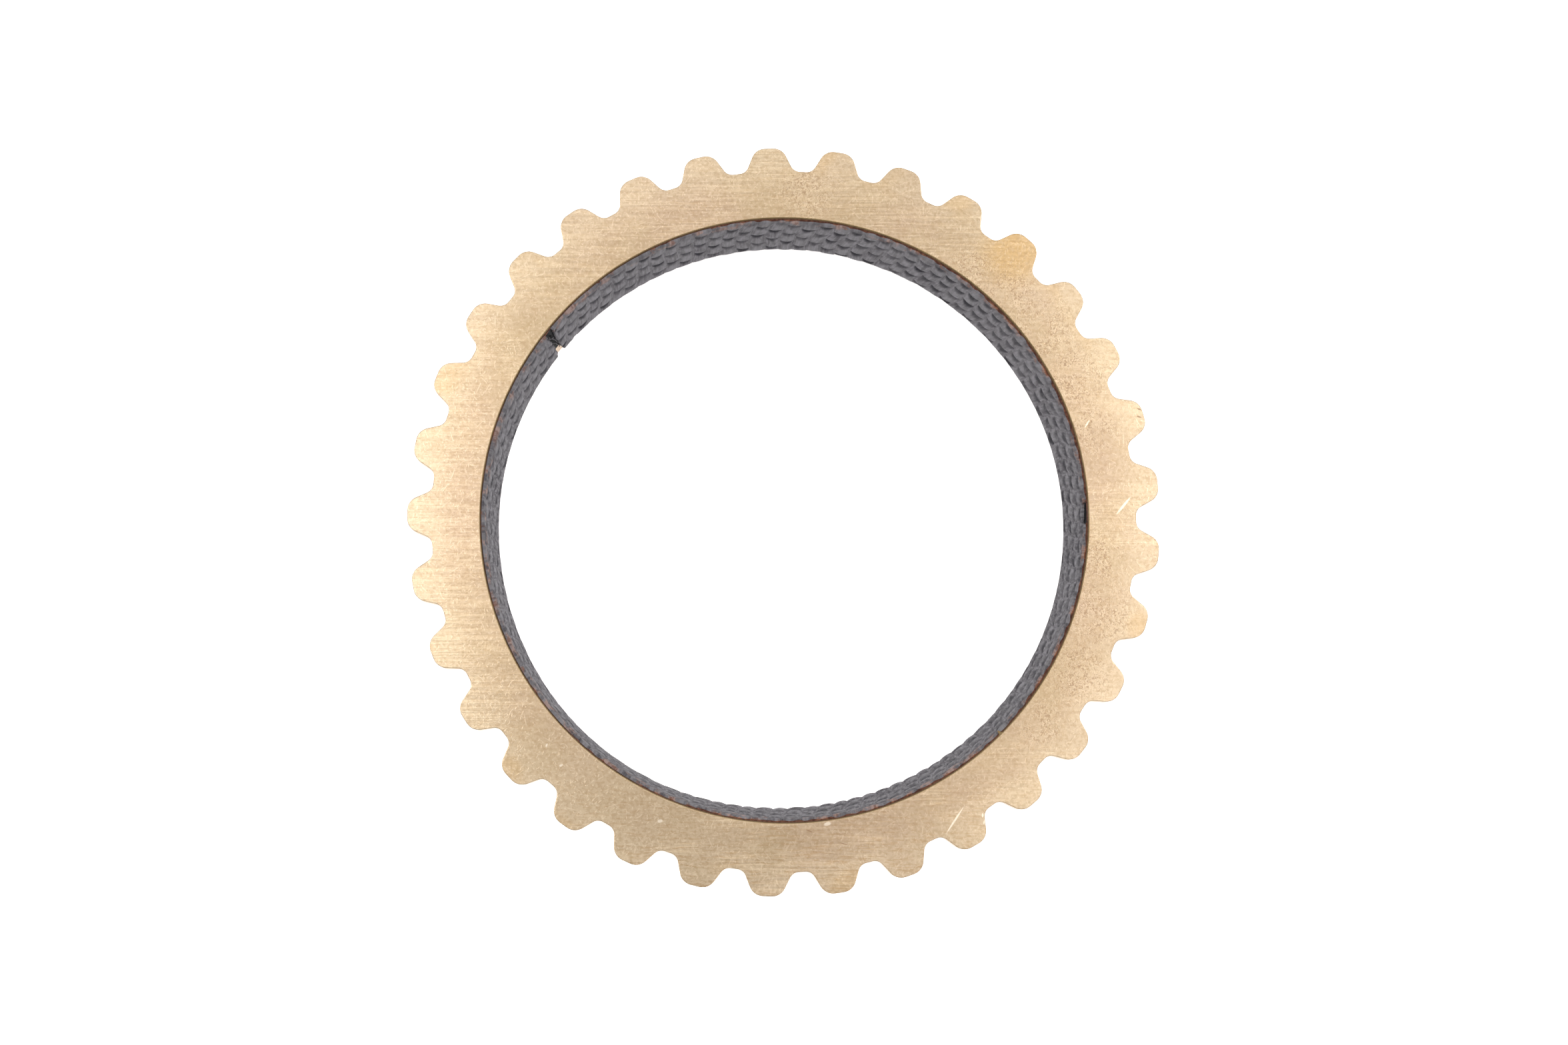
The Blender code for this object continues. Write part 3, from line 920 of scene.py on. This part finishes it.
def brass_tint(n, place, radius, grain, pale):
    """Brass colour with its clouds, warm and pale places, grain and mottle, and a painted highlight
    that lightens the outer rim.
    """
    broad = n.noise(place, 0.09, 3.0, 0.55)
    cloudy = n.noise(n.shifted(place, 31, 7, 3), 0.55, 3.0, 0.6)
    tint = n.mix(n.span(broad, 0.35, 0.65), BRASS_GREY, BRASS_PINK)
    tint = n.mix(n.span(cloudy, 0.38, 0.66, 0.0, 0.26), tint, BRASS_CLOUD)
    # Painted highlight: the brass is lightened towards the outer rim, where the side lamps reflect
    tint = n.mix(n.span(radius, 29.0, 33.0, 0.0, 0.50), tint, BRASS_RIM_HIGHLIGHT)
    tint = n.mix(n.times(pale, 0.55), tint, BRASS_PALE)
    warm_spots = n.span(n.noise(n.shifted(place, 5, 9, 2), 0.16, 2.0), 0.52, 0.62)
    warm_rim = n.times(n.span(radius, 30.5, 33.0), warm_spots)
    warm = n.largest((n.times(patch(n, place, *WARM_PATCH), 0.75), n.times(warm_rim, 0.30)))
    tint = n.mix(warm, tint, BRASS_WARM)
    tint = n.mix(n.span(grain, 0.44, 0.60, 0.0, 0.34), tint, BRASS_GRAIN)
    mottle = n.noise(n.shifted(place, 6, 6, 1), 2.4, 3.0, 0.6, 0.6)
    return n.mix(n.span(mottle, 0.50, 0.64, 0.0, 0.22), tint, BRASS_MOTTLE)


def brushed_lines(n, place):
    """Mask of level brushed lines, in some places only and strongest on the left side."""
    brushed = n.noise(n.moved(place, 0.0, (0.25, 8.0, 1.0)), 1.0, 3.0, 0.65)
    places = n.noise(n.moved(place, 0, (0.10, 0.16, 1), (9, 2, 0)), 1.0, 2.0)
    left_side = n.span(n.part(place, 0), -31.0, -22.0, 1.0, 0.0)
    where = n.largest((n.span(places, 0.34, 0.60), n.times(left_side, 1.9)))
    return n.times(n.span(brushed, 0.40, 0.66), where)


def brown_dashes(n, place):
    """Mask of short level brown dashes, denser on the low side."""
    low_side = n.span(n.part(place, 1), -31.0, -22.0, 1.0, 0.25)
    dashes = n.noise(n.moved(place, 0.03, (0.8, 7.0, 1.0), (2, 6, 0)), 1.0, 3.0, 0.6)
    return n.times(n.span(dashes, 0.50, 0.64), n.times(low_side, 0.42))


def scuffs(n, place):
    """Masks of all fine light marks, of dark pits and of single light scratches, two of which are
    painted glints on a tooth's edge.
    """
    light = []
    for k, (turn, shift) in enumerate(LIGHT_STREAKS):
        light.append(streaks(n, place, turn, 1.1 + 0.2 * k, 0.085, 0.70, (shift, 3 * shift, 0.0)))
    light = [n.times(n.largest(light), 0.55)]
    for *sizes, shift in HAIRLINES:
        light.append(curls(n, place, *sizes, (shift, 2 * shift, 0.0)))
    pitted = n.largest([patch(n, place, *spot) for spot in PITTED])
    ragged = n.span(n.noise(n.shifted(place, 2, 5, 1), 0.5, 3.0, 0.6), 0.30, 0.50)
    pitted = n.times(pitted, ragged)
    pits = n.span(n.noise(n.shifted(place, 4, 8, 5), 3.4, 2.0, 0.5, 1.6), 0.50, 0.61)
    ridges = n.span(n.noise(n.shifted(place, 9, 3, 1), 3.2, 2.0, 0.5, 1.6), 0.51, 0.62)
    scattered = curls(n, place, 0.90, 0.08, 0.085, 0.30, 0.12, (53, 7, 0))
    dark = [n.times(pits, n.times(pitted, 0.80)), n.times(scattered, 0.25)]
    dark += [scratch(n, place, *mark) for mark in DARK_SCRATCHES]
    light.append(n.times(ridges, n.times(pitted, 1.2)))
    # Single scratches, plus two painted glints on a tooth's edge
    bare = n.largest([scratch(n, place, *mark) for mark in SCRATCHES_AND_GLINTS])
    return n.largest(light), n.largest(dark), bare


def edge_stain_and_shade(n, place, radius):
    """Mask of the olive stain on the bore's edge, on the gear side only: partly resin on the brass and
    partly painted shade that dims the edge's highlight.
    """
    stain = n.span(radius, BORE_RADIUS + 0.02, BORE_RADIUS + 0.14, 1.0, 0.0)
    return n.times(stain, n.span(n.part(place, 2), HEIGHT - 1.2, HEIGHT - 0.6))


def brass_material():
    """Machined brass: metal whose marks change its colour, gloss and relief."""
    n = Nodes("ring_brass")
    place = place_in_mm(n)
    radius = radius_in_mm(n)
    grain = n.noise(place, 3.2, 4.0, 0.65)
    pale = patch(n, place, *PALE_PATCH)
    lines = brushed_lines(n, place)
    light, dark, bare = scuffs(n, place)
    stain = edge_stain_and_shade(n, place, radius)
    tint = brass_tint(n, place, radius, grain, pale)
    tint = n.mix(n.times(lines, 0.12), tint, BRASS_BRUSHED)
    tint = n.mix(brown_dashes(n, place), tint, BRASS_DASHES)
    across = n.vector("DOT_PRODUCT", place, (-0.95, 0.3, 0.0), output=1)
    light_share = n.plus(n.span(across, -24.0, 24.0, 0.18, 0.26), n.times(pale, 0.07))
    tint = n.mix(n.times(light, light_share), tint, BRASS_SCUFFED)
    # Single scratches, and painted glints on a tooth's edge
    tint = n.mix(n.times(bare, 0.75), tint, BRASS_BARE_AND_GLINT)
    tint = n.mix(n.times(dark, 0.75), tint, BRASS_DARK)
    # Olive stain on the bore's edge: partly resin, partly painted shade that dims its highlight
    tint = n.mix(n.times(stain, 0.80), tint, BRASS_STAIN_AND_SHADE)
    n.put(n.shader.inputs["Base Color"], tint)
    n.shader.inputs["Metallic"].default_value = 1.0
    rough = n.plus(n.span(lines, 0.0, 1.0, 0.30, 0.34), n.times(stain, 0.35))
    n.put(n.shader.inputs["Roughness"], n.plus(rough, n.times(dark, 0.12)))
    height = n.plus(n.times(lines, 0.35), n.times(grain, 0.5))
    height = n.minus(height, n.times(dark, 0.25))
    height = n.plus(height, n.times(light, 0.25))
    n.put(n.shader.inputs["Normal"], n.bump(height, 0.008 * MM, 0.6))
    return n.material


def resin_patches(n, place, high):
    """Mask of the patches where resin shows, the same on the cloth and on the bead."""
    return n.span(n.noise(n.shifted(place, 8, 3, 6), 0.9, 3.0, 0.6), 0.49, high)


CLOTH_TONES = (colour(96, 93, 96), colour(112, 109, 111))
CLOTH_BUNDLE = colour(132, 129, 133)
CLOTH_FIBRE = colour(146, 143, 147)
CLOTH_FUZZ = colour(58, 55, 60)
# Painted highlight on the scales' crowns
CLOTH_CROWN_HIGHLIGHT = colour(146, 144, 147)
# Painted shade in the grooves under the scales' ends
CLOTH_GROOVE_SHADE = colour(36, 34, 40)
CLOTH_RESIN = (colour(132, 98, 84), colour(168, 140, 130))
# Brown resin, darkened as painted shade in the bead's recess by the brass wall
RESIN_BROWN_AND_SHADE = (colour(76, 49, 41), colour(106, 72, 58))
RESIN_PALE = (colour(132, 88, 66), colour(182, 128, 98))
RESIN_OLIVE = colour(124, 104, 70)
# Painted shade: the film under the cloth, nearly black where it shows in the butt gap
PAINTED_GAP_SHADE = colour(16, 14, 15)
FILAMENT = (colour(52, 50, 53), colour(104, 101, 104))


def lining_material():
    """Carbon cloth: fibres along the yarns, painted highlights on the scales' crowns, painted shade in
    the grooves and resin at the front.
    """
    n = Nodes("lining_carbon_cloth")
    place = place_in_mm(n)
    yarn = n.add("ShaderNodeUVMap", {}, uv_map="yarn")
    fibres = n.noise(n.moved(yarn, 0, (5.0, 0.45, 1)), 1.0, 2.0, 0.5)
    bundles = n.noise(n.moved(yarn, 0, (1.8, 0.6, 1), (1, 5, 0)), 1.0, 2.0, 0.5)
    fuzz = n.noise(n.moved(yarn, 0, (3.0, 1.4, 1), (3, 1, 0)), 1.0, 2.0, 0.5)
    broken = n.noise(n.moved(yarn, 0, (1.3, 0.9, 1), (8, 8, 0)), 1.0, 2.0, 0.5)
    near = n.stored("near_front")
    base = n.mix(n.stored("tone"), *CLOTH_TONES)
    base = n.mix(n.span(bundles, 0.38, 0.62, 0.0, 0.55), base, CLOTH_BUNDLE)
    inside = n.minus(1.0, n.times(near, 0.7))
    strength = n.times(n.span(fibres, 0.40, 0.64, 0.0, 0.60), inside)
    base = n.mix(strength, base, CLOTH_FIBRE)
    top_side = n.span(n.part(place, 1), 2.0, 18.0)
    fuzzy = n.minus(0.62, n.times(top_side, 0.30))
    fuzzy = n.times(n.span(fuzz, 0.36, 0.56, 1.0, 0.0), fuzzy)
    base = n.mix(fuzzy, base, CLOTH_FUZZ)
    # Painted highlight on the scales' crowns
    base = n.mix(n.times(n.stored("crown"), 0.45), base, CLOTH_CROWN_HIGHLIGHT)
    gap = n.minus(0.70, n.times(top_side, 0.50))
    gap = n.times(gap, n.span(broken, 0.36, 0.54, 1.0, 0.0))
    # Painted shade in the crescents under the scales' ends
    base = n.mix(n.times(n.stored("groove"), n.minus(1.0, gap)), base, CLOTH_GROOVE_SHADE)
    stain = n.times(n.times(near, resin_patches(n, place, 0.62)), 0.70)
    resin = n.mix(n.span(fuzz, 0.40, 0.62), *CLOTH_RESIN)
    n.put(n.shader.inputs["Base Color"], n.mix(stain, base, resin))
    n.put(n.shader.inputs["Roughness"], n.span(fibres, 0.3, 0.7, 0.60, 0.78))
    n.shader.inputs["Specular IOR Level"].default_value = 0.06
    height = n.plus(n.times(fibres, 0.6), n.times(fuzz, 0.4))
    n.put(n.shader.inputs["Normal"], n.bump(height, 0.03 * MM, 0.6))
    return n.material


def adhesive_material():
    """Cured resin: brown with paler patches on the bead, olive where it thins out, darker brown as
    painted shade in the bead's recess, and nearly black as painted shade on the film seen in the butt
    gap.
    """
    n = Nodes("bond_resin_brown")
    place = place_in_mm(n)
    specks = n.span(n.noise(n.shifted(place, 4, 4, 4), 3.5, 2.0), 0.35, 0.65)
    # The darker brown is partly painted shade in the bead's recess
    dark = n.mix(specks, *RESIN_BROWN_AND_SHADE)
    pale = n.mix(specks, *RESIN_PALE)
    pale_share = n.times(n.stored("pale_resin"), resin_patches(n, place, 0.60))
    base = n.mix(pale_share, dark, pale)
    base = n.mix(n.times(n.stored("olive_resin"), 0.85), base, RESIN_OLIVE)
    # Painted shade on the film under the cloth, seen in the butt gap
    base = n.mix(n.stored("under_cloth"), base, PAINTED_GAP_SHADE)
    n.put(n.shader.inputs["Base Color"], base)
    n.put(n.shader.inputs["Roughness"], n.span(specks, 0.0, 1.0, 0.45, 0.60))
    n.shader.inputs["Specular IOR Level"].default_value = 0.04
    n.put(n.shader.inputs["Normal"], n.bump(specks, 0.02 * MM, 0.5))
    return n.material


def yarn_material():
    """Loose carbon filaments, dark grey with a paler ply."""
    n = Nodes("loose_carbon_filament")
    ply = n.noise(place_in_mm(n), 9.0, 2.0, 0.6)
    n.put(n.shader.inputs["Base Color"], n.mix(ply, *FILAMENT))
    n.put(n.shader.inputs["Roughness"], n.span(ply, 0.3, 0.7, 0.55, 0.70))
    n.shader.inputs["Specular IOR Level"].default_value = 0.05
    return n.material


FLOOR_GLOW = 0.75
FLOOR_SIZE = 3.0
FLOOR_DROP = 0.05
FLOOR_WHITES = ((0.93, 0.93, 0.93, 1), (0.95, 0.95, 0.95, 1))


def floor_material():
    """White light table."""
    n = Nodes("studio_floor")
    soft = n.noise(n.object_place(), 4.0, 2.0)
    n.put(n.shader.inputs["Base Color"], n.mix(soft, *FLOOR_WHITES))
    n.shader.inputs["Roughness"].default_value = 0.9
    n.shader.inputs["Specular IOR Level"].default_value = 0.1
    n.shader.inputs["Emission Color"].default_value = (1, 1, 1, 1)
    n.shader.inputs["Emission Strength"].default_value = FLOOR_GLOW
    return n.material


# ---------------------------------------------------------------- stage, light and camera

def build_stage():
    """The floor, a hair below the ring so that the two don't share a plane."""
    bpy.ops.mesh.primitive_plane_add(size=FLOOR_SIZE, location=(0, 0, -FLOOR_DROP * MM))
    floor = bpy.context.object
    floor.name = "floor"
    floor.data.materials.append(floor_material())


def face_seen():
    """Matrix from the axes of the camera's view, centred on the gear-side face, to the frame's."""
    tilt = Matrix.Rotation(TILT_Y, 4, "Y") @ Matrix.Rotation(TILT_X, 4, "X")
    moved = Matrix.Translation((CAMERA_SHIFT[0] * MM, CAMERA_SHIFT[1] * MM, 0))
    turned = Matrix.Rotation(-VIEW_TURN, 4, "Z")
    face = Matrix.Translation((0, 0, HEIGHT * MM))
    return face @ turned @ (moved @ tilt).inverted()


def build_camera():
    """The camera above the toothed face, tilted a few degrees off the ring's axis."""
    lens = bpy.data.cameras.new("camera")
    lens.lens = LENS
    lens.sensor_width = SENSOR
    lens.clip_start = 0.01
    lens.clip_end = 20.0
    camera = bpy.data.objects.new("camera", lens)
    bpy.context.collection.objects.link(camera)
    camera.matrix_world = face_seen() @ Matrix.Translation((0, 0, CAMERA_DISTANCE * MM))
    bpy.context.scene.camera = camera


LIGHT_SIZE = 0.3
# Share of the world's light, from the level at which it starts to fall to the one where it is least
WORLD_FALL = (0.45, 0.75, 0.5, 0.22)


def area_light(name, place, power):
    """Soft square light aimed at the ring; place is in metres along the camera's right and up."""
    lamp = bpy.data.lights.new(name, "AREA")
    lamp.shape = "SQUARE"
    lamp.size = LIGHT_SIZE
    lamp.energy = power
    thing = bpy.data.objects.new(name, lamp)
    bpy.context.collection.objects.link(thing)
    where = Matrix.Rotation(-VIEW_TURN, 4, "Z") @ Vector(place)
    thing.location = where
    thing.rotation_euler = (-where).to_track_quat("-Z", "Y").to_euler()


def build_light():
    """An even world that is dimmer overhead, and four boxes above the ring."""
    world = bpy.data.worlds.new("studio")
    bpy.context.scene.world = world
    world.use_nodes = True
    tree = world.node_tree
    background = tree.nodes["Background"]
    background.inputs["Color"].default_value = (1.0, 1.0, 1.0, 1.0)
    upward = tree.nodes.new("ShaderNodeSeparateXYZ")
    walls = tree.nodes.new("ShaderNodeMapRange")
    for socket, value in zip(walls.inputs[1:5], WORLD_FALL):
        socket.default_value = value
    tree.links.new(tree.nodes.new("ShaderNodeTexCoord").outputs["Generated"], upward.inputs[0])
    tree.links.new(upward.outputs[2], walls.inputs[0])
    tree.links.new(walls.outputs[0], background.inputs["Strength"])
    area_light("left_box", (-0.402, 0.095, 0.911), 3.52)
    area_light("right_box", (0.454, 0.202, 0.868), 2.86)
    area_light("top_box", (-0.055, 0.477, 0.877), 0.9)
    area_light("low_box", (0.316, -0.210, 0.925), 1.40)
    bpy.context.scene.view_settings.view_transform = "Standard"


# ---------------------------------------------------------------- assembly

def dress(piece, material, nodes):
    """Gives a piece its material and its body, and hides the CAD nodes that it stands for."""
    piece.data.materials.clear()
    piece.data.materials.append(material)
    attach(piece, "root")
    if nodes:
        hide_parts(*nodes)


build_camera()
build_light()
build_stage()
dress(build_brass_ring(), brass_material(), ["ring_body"])
dress(build_adhesive(), adhesive_material(), ["adhesive_film"])
dress(build_lining(), lining_material(), ["friction_lining"])
dress(build_frayed_yarns(), yarn_material(), [])
